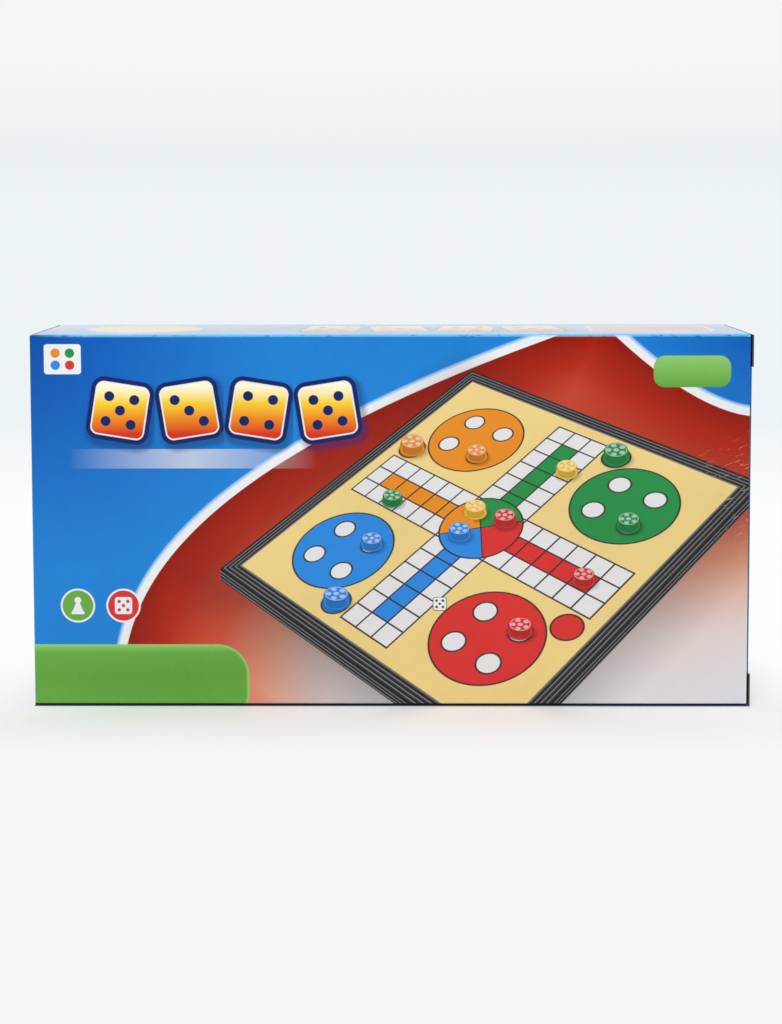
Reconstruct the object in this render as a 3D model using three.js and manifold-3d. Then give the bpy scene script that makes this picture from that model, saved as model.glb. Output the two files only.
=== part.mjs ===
// A reverse tuck carton of printed board, standing on a long narrow side, with the folding ludo case it holds.
// Millimetres. X runs along the carton's length, the front faces -Y and Z is up.
// The origin is the middle of the carton's base.

import * as THREE from "three";
import { mergeVertices } from "three/addons/utils/BufferGeometryUtils.js";
import Module from "manifold-3d";

const wasm = await Module();
wasm.setup();

// Folding case
const caseLength = 247;
const halfHeight = 127;
const halfDepth = 14.75;
const caseCornerRadius = 4;
const foldCornerRadius = 1;
const wall = 2;
const deck = 1.8;
const borderSteps = 3;
const borderStepWidth = 4;
const borderStepDrop = 0.8;
const ribHeight = 2;
const ribThickness = 1.2;
const crossRibShares = [-0.6, -0.2, 0.2, 0.6]; // of half the case's length
const longRibShares = [0.33, 0.67]; // of the half's height

// Carton, which is made to fit the case
const caseEndClearance = 1.2; // from the case's ends to the dust flaps
const caseSideClearance = 2.75; // from the case's decks to the front and back panels
const caseTopClearance = 0.75; // from the case's hinges to the top panel
const board = 0.5; // thickness of the carton board
const creaseRadius = 1.2; // outside radius of every fold
const flapGap = 0.3; // room between one layer of board and the next
const cutEdgeSetback = 1.2; // from a closure's outer face back to the cut edge of the panel beside it
const closureTrim = 0.3; // a closure's ends stop this short of the carton's top and base
const glueFilm = 0.05; // thickness of a dried line of glue
const glueFlapWidth = 14;
const glueFlapEndGap = 2; // from the glue flap's ends to the dust flaps
const glueFlapTaper = 4; // the glue flap's ends run in by this much over its width
const basePanelSetback = 0.2; // from the back face in to the base panel's cut edge

// Tuck flaps
const tuckLength = 11;
const tuckSlant = 0.2; // radians that a tuck flap leans in past a right angle
const tuckTrim = 1.5; // from a tuck flap's ends to the carton's top and base
const tuckCornerRadius = 9;
const slitLength = 11.5; // slits at both ends of a tuck crease

// Dust flaps
const dustLength = 28;
const dustFootGap = 1.2; // from the closure's crease to the start of the dust flap's crease
const dustNotch = 8; // the notch beside the closure's crease, cut at 45 degrees
const dustTaperShare = 0.268; // sideways run of a dust flap's edges past the notch, for each length of it
const dustBackGap = 2.5; // from the far face of the carton to the shoulder of the dust flap
const dustShoulder = 13;
const dustStep = 3; // the shoulder ends in a 45 degree step of this size
const dustTipRadius = 3;

// Play sheets, let into the decks
const sheetThickness = 0.5;
const sheetRecess = 0.6;
const sheetRecessMargin = 0.6; // between the recess and the innermost border step
const sheetClearance = 0.3;
const foldMargin = 3; // between the recess and the fold
const sheetCornerRadius = 1.5;

// Hinges of the case
const hingePlaceShare = 0.57; // of half the case's length, from its middle out to each hinge
const knuckleCount = 5;
const knuckleWidth = 8;
const knuckleGap = 0.4;
const barrelRadius = 2.2;
const barrelRelief = 0.4;
const pinRadius = 0.75;
const pinClearance = 0.1;
const pinSetback = 0.3; // from the barrel's ends in to the pin's ends
const hingeBossDepth = 4;
const hingeBossHeight = 3.2;

// Latch of the case
const latchWidth = 24;
const latchClearance = 0.3;
const latchPlate = 1.3;
const latchFront = 7; // the clip's reach from the parting plane into the front half
const latchBack = 5; // and into the back half
const latchBarrelRadius = 1.5;
const latchBarRadius = 0.7;
const latchHook = 0.9;
const latchHookWidth = 1.4;
const latchBossWall = 2;

// Counters and die
const counterRadius = 6;
const counterFoot = 2.4;
const counterWaist = 0.5; // depth of the groove round a counter
const counterGroove = 0.7;
const counterBody = 1.6;
const counterTopRadius = 4.9;
const counterChamfer = 0.5;
const studRadius = 0.9;
const studHeight = 0.8;
const studRing = 3.1;
const studCount = 5;
const dieEdge = 9;
const dieRoundShare = 0.73; // radius of the ball that rounds the die, as a share of its edge

// Tray that seats them
const pocketPitch = 16;
const pocketClearance = 0.4;
const pocketDepth = 4.6;
const trayThickness = 5.6;
const trayWidth = 74;
const trayClearance = 0.5;
const trayCornerRadius = 4;
const colourCount = 4;
const countersEach = 4;

// Mesh making
const overrun = 1; // how far a cutting shape runs past what it cuts
const weldDistance = 0.0001;
const curveSteps = 3;
const creaseSteps = 4; // facets of each half fold
const roundSteps = 24;
const counterSides = 14;
const studSides = 6;
const ballSteps = 20;

const X = new THREE.Vector3(1, 0, 0);
const Y = new THREE.Vector3(0, 1, 0);
const Z = new THREE.Vector3(0, 0, 1);
const minusX = X.clone().negate();
const minusY = Y.clone().negate();
const minusZ = Z.clone().negate();

const rightAngle = Math.PI / 2;
const tuckTurn = rightAngle + tuckSlant;

// Places that follow from the sizes
const glueZ = board + glueFilm;
const caseZ = glueZ + board; // the case stands on the glue flap
const foldZ = caseZ + halfHeight;
const hingeX = hingePlaceShare * (caseLength / 2);
const cartonLength = caseLength + 2 * (caseEndClearance + board + flapGap + board);
const cartonDepth = 2 * (halfDepth + caseSideClearance + board);
const cartonHeight = foldZ + barrelRadius + caseTopClearance + board;
const endX = cartonLength / 2;
const faceY = cartonDepth / 2;
const cutX = endX - cutEdgeSetback;
const dustX = endX - board - flapGap;
const tuckS = cartonDepth - board - flapGap; // from the closure's crease to its tuck crease
const deckInnerY = halfDepth - deck;
const trayFloorY = deckInnerY - ribHeight;
const pocketFloorY = trayFloorY - (trayThickness - pocketDepth);
const sheetInset = borderSteps * borderStepWidth + sheetRecessMargin;

function at(x, y, z) {
  return new THREE.Vector3(x, y, z);
}

function solidOf(geometry) {
  const bare = new THREE.BufferGeometry();
  bare.setAttribute("position", geometry.getAttribute("position"));
  bare.setIndex(geometry.getIndex());
  const merged = mergeVertices(bare, weldDistance);
  return new wasm.Manifold(
    new wasm.Mesh({
      numProp: 3,
      vertProperties: new Float32Array(merged.getAttribute("position").array),
      triVerts: new Uint32Array(merged.getIndex().array),
    })
  );
}

function geometryOf(solid) {
  const mesh = solid.getMesh();
  const geometry = new THREE.BufferGeometry();
  geometry.setAttribute("position", new THREE.BufferAttribute(mesh.vertProperties, 3));
  geometry.setIndex(new THREE.BufferAttribute(mesh.triVerts, 1));
  geometry.computeVertexNormals();
  return geometry;
}

// Extrudes a shape drawn on the axes along and across, from the origin given, towards their cross product.
function prism(shape, depth, origin, along, across) {
  const options = { depth, bevelEnabled: false, curveSegments: curveSteps };
  const geometry = new THREE.ExtrudeGeometry(shape, options);
  const basis = new THREE.Matrix4().makeBasis(along, across, along.clone().cross(across));
  return solidOf(geometry.applyMatrix4(basis.setPosition(origin)));
}

function block(low, high) {
  const size = high.clone().sub(low);
  const centre = high.clone().add(low).divideScalar(2);
  const geometry = new THREE.BoxGeometry(size.x, size.y, size.z);
  return solidOf(geometry.translate(centre.x, centre.y, centre.z));
}

function rod(radius, fromX, toX, y, z) {
  const geometry = new THREE.CylinderGeometry(radius, radius, toX - fromX, roundSteps);
  geometry.rotateZ(rightAngle);
  return solidOf(geometry.translate((fromX + toX) / 2, y, z));
}

function joined(solids) {
  return solids.reduce((whole, solid) => whole.add(solid));
}

// A closed outline through corners given as [u, v, radius], each rounded by its own radius.
function roundedShape(corners) {
  const shape = new THREE.Shape();
  const count = corners.length;
  corners.forEach(([u, v, radius], index) => {
    const corner = new THREE.Vector2(u, v);
    const before = new THREE.Vector2(...corners[(index + count - 1) % count]).sub(corner).normalize();
    const after = new THREE.Vector2(...corners[(index + 1) % count]).sub(corner).normalize();
    const reach = radius / Math.tan(Math.acos(before.dot(after)) / 2);
    const start = corner.clone().addScaledVector(before, reach);
    const end = corner.clone().addScaledVector(after, reach);
    if (index === 0) {
      shape.moveTo(start.x, start.y);
    } else {
      shape.lineTo(start.x, start.y);
    }
    if (radius > 0) {
      shape.quadraticCurveTo(corner.x, corner.y, end.x, end.y);
    }
  });
  return shape;
}

function rectangle(lowU, lowV, highU, highV, radius) {
  return roundedShape([
    [lowU, lowV, radius],
    [highU, lowV, radius],
    [highU, highV, radius],
    [lowU, highV, radius],
  ]);
}

// Points on an arc about a centre, from one turn to another.
function arcPoints(u, v, radius, fromTurn, toTurn) {
  const points = [];
  for (let step = 0; step <= creaseSteps; step += 1) {
    const turn = fromTurn + ((toTurn - fromTurn) * step) / creaseSteps;
    points.push(new THREE.Vector2(u + radius * Math.cos(turn), v + radius * Math.sin(turn)));
  }
  return points;
}

// A strip of board seen on edge, with its outer face on the first axis and its thickness on the second.
// An end with a turn carries half of a fold of that angle, and an end without one is cut square.
function strip(span, startTurn, endTurn) {
  const outward = -rightAngle;
  const inside = creaseRadius - board;
  const start = creaseRadius * Math.tan(startTurn / 2);
  const end = span - creaseRadius * Math.tan(endTurn / 2);
  const points = [];
  if (startTurn > 0) {
    points.push(...arcPoints(start, creaseRadius, creaseRadius, outward - startTurn / 2, outward));
  } else {
    points.push(new THREE.Vector2(0, 0));
  }
  if (endTurn > 0) {
    points.push(...arcPoints(end, creaseRadius, creaseRadius, outward, outward + endTurn / 2));
    points.push(...arcPoints(end, creaseRadius, inside, outward + endTurn / 2, outward));
  } else {
    points.push(new THREE.Vector2(span, 0), new THREE.Vector2(span, board));
  }
  if (startTurn > 0) {
    points.push(...arcPoints(start, creaseRadius, inside, outward, outward - startTurn / 2));
  } else {
    points.push(new THREE.Vector2(0, board));
  }
  return new THREE.Shape(points);
}

// The front panel carries the left closure on its left crease, and its right edge is cut.
function frontPanel() {
  const upright = strip(cartonHeight, rightAngle, rightAngle);
  const level = strip(endX + cutX, rightAngle, 0);
  const folded = prism(upright, endX + cutX, at(cutX, -faceY, 0), Z, Y);
  return folded.intersect(prism(level, cartonHeight, at(-endX, -faceY, 0), X, Y));
}

// The back panel is the same seen from behind, with the glue flap on its lower crease.
function backPanel() {
  const upright = strip(cartonHeight - glueZ, rightAngle, rightAngle);
  const level = strip(endX + cutX, rightAngle, 0);
  const folded = prism(upright, endX + cutX, at(-cutX, faceY, glueZ), Z, minusY);
  return folded.intersect(prism(level, cartonHeight, at(endX, faceY, 0), minusX, minusY));
}

// The top panel carries a dust flap on each end.
function topPanel() {
  const across = strip(cartonDepth, rightAngle, rightAngle);
  const level = strip(2 * dustX, rightAngle, rightAngle);
  const folded = prism(across, 2 * dustX, at(dustX, -faceY, cartonHeight), Y, minusZ);
  return folded.intersect(prism(level, cartonDepth, at(-dustX, -faceY, cartonHeight), X, minusZ));
}

// The base panel does too. Its back edge is cut and lies under the glue flap.
function basePanel() {
  const across = strip(cartonDepth - basePanelSetback, rightAngle, 0);
  const level = strip(2 * dustX, rightAngle, rightAngle);
  const folded = prism(across, 2 * dustX, at(-dustX, -faceY, 0), Y, Z);
  return folded.intersect(prism(level, cartonDepth, at(-dustX, faceY, 0), X, Z));
}

function glueFlap() {
  const halfRoot = dustX - board - glueFlapEndGap;
  const folded = strip(glueFlapWidth, rightAngle, 0);
  const outline = roundedShape([
    [-halfRoot, -overrun, 0],
    [halfRoot, -overrun, 0],
    [halfRoot, creaseRadius, 0],
    [halfRoot - glueFlapTaper, glueFlapWidth, creaseRadius],
    [glueFlapTaper - halfRoot, glueFlapWidth, creaseRadius],
    [-halfRoot, creaseRadius, 0],
  ]);
  const flap = prism(folded, 2 * halfRoot, at(halfRoot, faceY, glueZ), minusY, Z);
  const high = glueZ + creaseRadius + overrun;
  return flap.intersect(prism(outline, high, at(0, faceY, high), X, minusY));
}

// A closure, drawn on the left end. Its middle folds over into the tuck flap, and past the slits
// its raw edge runs on to the far face of the carton.
function closure() {
  const middle = strip(tuckS, rightAngle, tuckTurn);
  const ear = strip(cartonDepth, rightAngle, 0);
  const face = strip(tuckS - 2 * creaseRadius, rightAngle, 0);
  const earHeight = slitLength - closureTrim;
  const topZ = cartonHeight - closureTrim;
  return joined([
    prism(face, topZ - closureTrim, at(-endX, -faceY, topZ), Y, X),
    prism(middle, cartonHeight - 2 * slitLength, at(-endX, -faceY, cartonHeight - slitLength), Y, X),
    prism(ear, earHeight, at(-endX, -faceY, topZ), Y, X),
    prism(ear, earHeight, at(-endX, -faceY, slitLength), Y, X),
  ]);
}

// A tuck flap, drawn on the left end, leaning in from the closure's far crease.
function tuckFlap() {
  const along = at(Math.cos(tuckSlant), -Math.sin(tuckSlant), 0);
  const inward = at(-Math.sin(tuckSlant), -Math.cos(tuckSlant), 0);
  const crease = at(-endX, tuckS - faceY, 0);
  const topZ = cartonHeight - tuckTrim;
  const slitReach = board + 2 * flapGap;
  const slitZ = slitLength + flapGap;
  const outline = roundedShape([
    [slitReach, tuckTrim, 0],
    [tuckLength, tuckTrim, tuckCornerRadius],
    [tuckLength, topZ, tuckCornerRadius],
    [slitReach, topZ, 0],
    [slitReach, cartonHeight - slitZ, 0],
    [-overrun, cartonHeight - slitZ, 0],
    [-overrun, slitZ, 0],
    [slitReach, slitZ, 0],
  ]);
  const flap = prism(
    strip(tuckLength, tuckTurn, 0),
    cartonHeight,
    crease.clone().setZ(cartonHeight),
    along,
    inward
  );
  const start = crease.clone().addScaledVector(inward, -overrun);
  return flap.intersect(prism(outline, board + 2 * overrun + creaseRadius, start, along, Z));
}

// Outline of a dust flap: across the carton from the closure's crease, and out from its own crease.
function dustOutline() {
  const notchEnd = creaseRadius + dustNotch;
  const hingeSide = dustFootGap + dustNotch;
  const shoulder = cartonDepth - dustBackGap;
  const stepEnd = dustShoulder + dustStep;
  const tipHinge = hingeSide + (dustLength - notchEnd) * dustTaperShare;
  const tipBack = shoulder - dustStep - (dustLength - stepEnd) * dustTaperShare;
  return roundedShape([
    [dustFootGap, -overrun, 0],
    [dustFootGap, creaseRadius, 0],
    [hingeSide, notchEnd, 0],
    [tipHinge, dustLength, dustTipRadius],
    [tipBack, dustLength, dustTipRadius],
    [shoulder - dustStep, stepEnd, 0],
    [shoulder, dustShoulder, 0],
    [shoulder, -overrun, 0],
  ]);
}

function topDustFlap() {
  const folded = strip(dustLength, rightAngle, 0);
  const flap = prism(folded, cartonDepth, at(-dustX, faceY, cartonHeight), minusZ, X);
  const depth = 2 * overrun + creaseRadius;
  return flap.intersect(prism(dustOutline(), depth, at(-dustX + depth, -faceY, cartonHeight), Y, minusZ));
}

function baseDustFlap() {
  const folded = strip(dustLength, rightAngle, 0);
  const flap = prism(folded, cartonDepth, at(-dustX, -faceY, 0), Z, X);
  const depth = 2 * overrun + creaseRadius;
  return flap.intersect(prism(dustOutline(), depth, at(-dustX, -faceY, 0), Y, Z));
}

// One step of a half shell, drawn in from the three free edges but not from the fold.
function shellStep(inset, edge, top) {
  const halfLength = caseLength / 2 - inset - edge;
  const low = caseZ + inset + edge;
  const corner = Math.max(caseCornerRadius - edge, foldCornerRadius);
  const outline = roundedShape([
    [-halfLength, low, corner],
    [halfLength, low, corner],
    [halfLength, foldZ - edge, foldCornerRadius],
    [-halfLength, foldZ - edge, foldCornerRadius],
  ]);
  return prism(outline, top + edge / wall, at(0, edge / wall, 0), X, Z);
}

// The stepped block of a half: its outside with no edge, or its hollow with the wall as the edge.
function steppedBlock(edge, skin) {
  const steps = [];
  for (let step = 0; step <= borderSteps; step += 1) {
    const drop = (borderSteps - step) * borderStepDrop;
    steps.push(shellStep(step * borderStepWidth, edge, halfDepth - drop - skin));
  }
  return joined(steps);
}

function ribs() {
  const top = -trayFloorY;
  const halfLength = caseLength / 2;
  const cross = crossRibShares.map((share) => {
    const x = share * halfLength;
    return block(at(x - ribThickness / 2, -halfDepth, caseZ), at(x + ribThickness / 2, top, foldZ));
  });
  const long = longRibShares.map((share) => {
    const z = caseZ + share * halfHeight;
    return block(at(-halfLength, -halfDepth, z - ribThickness / 2), at(halfLength, top, z + ribThickness / 2));
  });
  return joined([...cross, ...long]);
}

function hingeCentres() {
  return [-hingeX, hingeX];
}

function hingeSpan() {
  return knuckleCount * knuckleWidth + (knuckleCount - 1) * knuckleGap;
}

function hingeBosses() {
  const halfSpan = hingeSpan() / 2 + wall;
  const low = foldZ - wall - hingeBossHeight;
  return joined(
    hingeCentres().map((x) => block(at(x - halfSpan, -hingeBossDepth, low), at(x + halfSpan, overrun, foldZ)))
  );
}

function latchBoss(reach) {
  const halfWidth = latchWidth / 2 + latchBossWall;
  const high = caseZ + 2 * latchBarrelRadius + 2 * latchClearance + latchBossWall;
  return block(at(-halfWidth, -reach - latchBossWall, caseZ), at(halfWidth, overrun, high));
}

// Barrels of one half: every second knuckle, starting with the one given.
function knuckles(first, radius, extra) {
  const barrels = [];
  for (const centre of hingeCentres()) {
    for (let index = first; index < knuckleCount; index += 2) {
      const start = centre - hingeSpan() / 2 + index * (knuckleWidth + knuckleGap);
      barrels.push(rod(radius, start - extra, start + knuckleWidth + extra, 0, foldZ));
    }
  }
  return joined(barrels);
}

function hingeBores() {
  const half = hingeSpan() / 2 + overrun;
  return joined(hingeCentres().map((x) => rod(pinRadius + pinClearance, x - half, x + half, 0, foldZ)));
}

function sheetOutline(clearance) {
  const halfLength = caseLength / 2 - sheetInset - clearance;
  const low = caseZ + sheetInset + clearance;
  return rectangle(-halfLength, low, halfLength, foldZ - foldMargin - clearance, sheetCornerRadius);
}

function sheetRecessCut() {
  return prism(sheetOutline(0), sheetRecess + overrun, at(0, sheetRecess - halfDepth, 0), X, Z);
}

function halfShell(firstKnuckle, latchReach) {
  const bosses = joined([hingeBosses(), latchBoss(latchReach)]);
  const hollow = steppedBlock(wall, deck).subtract(ribs()).subtract(bosses);
  const otherKnuckles = knuckles(1 - firstKnuckle, barrelRadius + barrelRelief, knuckleGap / 2);
  return steppedBlock(0, 0)
    .subtract(hollow)
    .subtract(sheetRecessCut())
    .subtract(otherKnuckles)
    .add(knuckles(firstKnuckle, barrelRadius, 0))
    .subtract(hingeBores());
}

function latchSlot(reach) {
  const halfWidth = latchWidth / 2 + latchClearance;
  const high = caseZ + 2 * latchBarrelRadius + 2 * latchClearance;
  return block(at(-halfWidth, -reach - latchClearance, caseZ - overrun), at(halfWidth, overrun, high));
}

function latchAxis() {
  return { y: latchBarrelRadius - latchFront, z: caseZ + latchClearance + latchBarrelRadius };
}

// The front half carries the bar that the latch clip turns on.
function frontHalfShell() {
  const axis = latchAxis();
  const halfWidth = latchWidth / 2 + latchBossWall;
  return halfShell(0, latchFront)
    .subtract(latchSlot(latchFront))
    .add(rod(latchBarRadius, -halfWidth, halfWidth, axis.y, axis.z));
}

// The back half, drawn as a front one, has the lip that the clip's hook holds.
function backHalfShell() {
  const halfWidth = latchWidth / 2 + latchClearance;
  const lipLow = caseZ + latchClearance + latchPlate + latchClearance;
  const lip = block(
    at(-halfWidth, latchHookWidth + 2 * latchClearance - latchBack, lipLow),
    at(halfWidth, 0, caseZ + 2 * latchBarrelRadius + 2 * latchClearance + overrun)
  );
  return halfShell(1, latchBack).subtract(latchSlot(latchBack).subtract(lip));
}

function latchClip() {
  const axis = latchAxis();
  const half = latchWidth / 2;
  const low = caseZ + latchClearance;
  const plate = block(at(-half, axis.y, low), at(half, latchBack, low + latchPlate));
  const hook = block(
    at(-half, latchBack - latchHookWidth, low),
    at(half, latchBack, low + latchPlate + latchHook)
  );
  const mouth = block(
    at(-half - overrun, axis.y - latchBarrelRadius - overrun, axis.z - latchBarRadius),
    at(half + overrun, axis.y, axis.z + latchBarRadius)
  );
  return rod(latchBarrelRadius, -half, half, axis.y, axis.z)
    .add(plate)
    .add(hook)
    .subtract(rod(latchBarRadius + pinClearance, -half - overrun, half + overrun, axis.y, axis.z))
    .subtract(mouth);
}

function playSheet() {
  const seat = sheetRecess - glueFilm - halfDepth;
  return prism(sheetOutline(sheetClearance), sheetThickness, at(0, seat, 0), X, Z);
}

function hingePin(centre) {
  const half = hingeSpan() / 2 - pinSetback;
  return rod(pinRadius, centre - half, centre + half, 0, foldZ);
}

// Places of the tray and its pockets, seen in the back half drawn as a front one.
function trayPlace() {
  const low = caseZ + borderStepWidth * borderSteps + wall + trayClearance;
  const high = foldZ - wall - trayClearance;
  const left = trayClearance + wall + borderSteps * borderStepWidth - caseLength / 2;
  return { left, right: left + trayWidth, low, high };
}

function counterPlace(column, row) {
  const place = trayPlace();
  const middle = (colourCount - 1) / 2;
  const x = (place.left + place.right) / 2 + (column - middle) * pocketPitch;
  const z = place.low + pocketPitch * (row + 1 / 2) + counterRadius / 2;
  return at(x, -pocketFloorY, z);
}

function diePlace() {
  const place = trayPlace();
  const pocketsEnd = counterPlace(0, countersEach - 1).z + counterRadius + pocketClearance;
  return at((place.left + place.right) / 2, dieEdge / 2 - pocketFloorY, (pocketsEnd + place.high) / 2);
}

function counterTray() {
  const place = trayPlace();
  const outline = rectangle(place.left, place.low, place.right, place.high, trayCornerRadius);
  const plate = prism(outline, trayThickness, at(0, trayThickness - trayFloorY, 0), X, Z);
  const pockets = [];
  for (let column = 0; column < colourCount; column += 1) {
    for (let row = 0; row < countersEach; row += 1) {
      const centre = counterPlace(column, row);
      const radius = counterRadius + pocketClearance;
      const bore = new THREE.CylinderGeometry(radius, radius, pocketDepth + overrun, roundSteps);
      pockets.push(solidOf(bore.translate(centre.x, centre.y + (pocketDepth + overrun) / 2, centre.z)));
    }
  }
  const die = diePlace();
  const half = dieEdge / 2 + pocketClearance;
  const low = at(die.x - half, -pocketFloorY, die.z - half);
  const high = at(die.x + half, pocketDepth + overrun - pocketFloorY, die.z + half);
  return plate.subtract(joined([...pockets, block(low, high)]));
}

// A counter lies with its foot on the pocket's floor and its studs towards the parting plane.
function counter(place) {
  const grooveTop = counterFoot + counterGroove;
  const top = grooveTop + counterBody;
  const profile = [
    [0, 0],
    [counterRadius - counterChamfer, 0],
    [counterRadius, counterChamfer],
    [counterRadius, counterFoot],
    [counterTopRadius - counterWaist, counterFoot],
    [counterTopRadius - counterWaist, grooveTop],
    [counterTopRadius, grooveTop],
    [counterTopRadius, top - counterChamfer],
    [counterTopRadius - counterChamfer, top],
    [0, top],
  ].map(([radius, height]) => new THREE.Vector2(radius, height));
  let solid = solidOf(new THREE.LatheGeometry(profile, counterSides));
  for (let index = 0; index < studCount; index += 1) {
    const angle = (index / studCount) * 2 * Math.PI;
    const stud = new THREE.CylinderGeometry(studRadius, studRadius, studHeight + counterChamfer, studSides);
    const height = top + (studHeight - counterChamfer) / 2;
    stud.translate(studRing * Math.cos(angle), height, studRing * Math.sin(angle));
    solid = solid.add(solidOf(stud));
  }
  return geometryOf(solid).translate(place.x, place.y, place.z);
}

function die() {
  const half = dieEdge / 2;
  const cube = block(at(-half, -half, -half), at(half, half, half));
  const ball = new THREE.SphereGeometry(dieEdge * dieRoundShare, ballSteps, ballSteps / 2);
  const place = diePlace();
  return geometryOf(cube.intersect(solidOf(ball))).translate(place.x, place.y, place.z);
}

// Materials
const printedBoard = new THREE.MeshStandardMaterial({ color: 0x2b6fc0, roughness: 0.32, metalness: 0 });
const casePlastic = new THREE.MeshStandardMaterial({ color: 0x2a2a2c, roughness: 0.5, metalness: 0 });
const playSheetCard = new THREE.MeshStandardMaterial({ color: 0xe8cd88, roughness: 0.4, metalness: 0 });
const steel = new THREE.MeshStandardMaterial({ color: 0xb4b7bb, roughness: 0.3, metalness: 1 });
const trayPlastic = new THREE.MeshStandardMaterial({ color: 0xe9e9e6, roughness: 0.6, metalness: 0 });
const diePlastic = new THREE.MeshStandardMaterial({ color: 0xf3f2ee, roughness: 0.25, metalness: 0 });
const counterColours = { red: 0xd3302f, blue: 0x2d7fd0, green: 0x2f9a4b, yellow: 0xf0c32c };

const model = new THREE.Group();

function addPiece(group, name, shape, material) {
  const geometry = shape.isBufferGeometry ? shape : geometryOf(shape);
  const mesh = new THREE.Mesh(geometry, material);
  mesh.name = name;
  group.add(mesh);
}

function addTube() {
  addPiece(model, "front_panel", frontPanel(), printedBoard);
  addPiece(model, "top_panel", topPanel(), printedBoard);
  addPiece(model, "back_panel", backPanel(), printedBoard);
  addPiece(model, "base_panel", basePanel(), printedBoard);
  addPiece(model, "glue_flap", glueFlap(), printedBoard);
}

// Both ends are alike: the right one is the left one turned half round.
function addEnd(side, turn) {
  const end = new THREE.Group();
  end.rotation.z = turn;
  addPiece(end, `${side}_closure`, closure(), printedBoard);
  addPiece(end, `${side}_tuck_flap`, tuckFlap(), printedBoard);
  addPiece(end, `${side}_top_dust_flap`, topDustFlap(), printedBoard);
  addPiece(end, `${side}_base_dust_flap`, baseDustFlap(), printedBoard);
  model.add(end);
}

function addCase() {
  addPiece(model, "front_half_shell", frontHalfShell(), casePlastic);
  addPiece(model, "front_play_sheet", playSheet(), playSheetCard);
  addPiece(model, "left_hinge_pin", hingePin(-hingeX), steel);
  addPiece(model, "right_hinge_pin", hingePin(hingeX), steel);
  addPiece(model, "latch_clip", latchClip(), casePlastic);
}

function addBackHalf() {
  const half = new THREE.Group();
  half.rotation.z = Math.PI;
  addPiece(half, "back_half_shell", backHalfShell(), casePlastic);
  addPiece(half, "back_play_sheet", playSheet(), playSheetCard);
  addPiece(half, "counter_tray", counterTray(), trayPlastic);
  addPiece(half, "die", die(), diePlastic);
  Object.entries(counterColours).forEach(([name, color], column) => {
    const material = new THREE.MeshStandardMaterial({ color, roughness: 0.15, metalness: 0 });
    for (let row = 0; row < countersEach; row += 1) {
      addPiece(half, `${name}_counter_${row + 1}`, counter(counterPlace(column, row)), material);
    }
  });
  model.add(half);
}

addTube();
addEnd("left", 0);
addEnd("right", Math.PI);
addCase();
addBackHalf();

export default model;
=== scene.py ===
# Looks of the folding ludo board box: a printed carton that stands on a long narrow side,
# and the folded case with its counters inside it.
# Metres. X runs along the carton's length, the front faces -Y and Z is up.

import math

import bpy
import numpy
from mathutils import Color, Matrix, Vector


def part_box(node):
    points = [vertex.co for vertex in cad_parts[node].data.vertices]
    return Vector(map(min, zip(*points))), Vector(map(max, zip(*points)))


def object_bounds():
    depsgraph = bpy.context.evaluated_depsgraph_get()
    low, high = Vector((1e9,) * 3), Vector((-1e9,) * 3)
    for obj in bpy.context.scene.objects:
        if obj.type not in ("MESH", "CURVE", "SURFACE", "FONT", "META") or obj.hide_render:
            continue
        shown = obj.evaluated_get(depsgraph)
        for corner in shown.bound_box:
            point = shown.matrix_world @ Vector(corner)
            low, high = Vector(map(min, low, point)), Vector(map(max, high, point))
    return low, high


# In a metre
MILLIMETRES = 1000

# Picture and camera: pixels, metres and degrees, and millimetres for the sensor
PICTURE_HIGH = 1024
CAMERA_PLACE = (0.00245, -0.41423, 0.17487)
CAMERA_PITCH = -2.623
CAMERA_YAW = 0.334
CAMERA_ROLL = -0.104
FOCAL_PIXELS = 1145.8
SHIFT_PIXELS = -250.3
SENSOR = 36
NEAR_CLIP = 0.01
FAR_CLIP = 20

# Studio
FLOOR_RADIUS = 4
FLOOR_SIDES = 96
FLOOR_DROP = 0.0001
FLOOR_MIDDLE = (0, -0.1, 0)
# How far a painted contact shadow reaches past the object's outline on the floor
FLOOR_PAINTED_SHADOW_REACH = 0.0002
FLOOR_FADE_START = 0.004
FLOOR_FADE_END = 0.036
FLOOR_NEAR_START = 0.12
FLOOR_NEAR_END = 0.19
FLOOR_FAR_START = 0.42
FLOOR_FAR_END = 0.68
ROOM_LIGHT = 0.36
ROOM_BEHIND_CAMERA = 0.3
ROOM_TURN = 0.3
WALL_STOPS = (0, 0.05, 0.13)
KEY_PLACE = (-0.25, -1.1, 1.25)
KEY_SIZE = 1.2
KEY_POWER = 18.5
BACK_PLACE = (0.15, 0.7, 1.3)
BACK_SIZE = 1.2
BACK_POWER = 2.5

# Smooth shading: corners this close are one, and folds of up to this many degrees shade as curves
JOIN_DISTANCE = 0.000002
SMOOTH_ANGLE = 35

# Noise: layers of detail, and the span that most of its values are in
SOFT_DETAIL = 1
PLAIN_DETAIL = 2
ROUGH_DETAIL = 3
FIBRE_DETAIL = 4
NOISE_SPAN = (0.3, 0.7)

# The print, in shares of the carton's height across from a face's left edge and up from its base
EDGE_SHARE = 0.0016
FACE_WIDE_SHARE = 1.916
SWEEP_START_SHARE = 0.213
SWEEP_REACH_SHARE = 1.14
SWEEP_POWER = 2.4
SWEEP_BAND_SHARE = 0.021
SWEEP_RIM_SHARE = 0.006
CORNER_START_SHARE = 0.8
CORNER_REACH_SHARE = 1.1
CORNER_POWER = 1.6
GROUND_CORNER_SHARES = (0, 1, 0)
GROUND_REACH_SHARE = 0.65
GROUND_STOPS = (0, 0.3, 1)
GROUND_END_SHARES = (1.92, 1, 0)
GROUND_END_REACH_SHARE = 0.35
FIELD_REACH_SHARE = 0.75
FIELD_STOPS = (0.04, 0.16, 0.35, 0.53, 0.77, 1)

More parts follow.
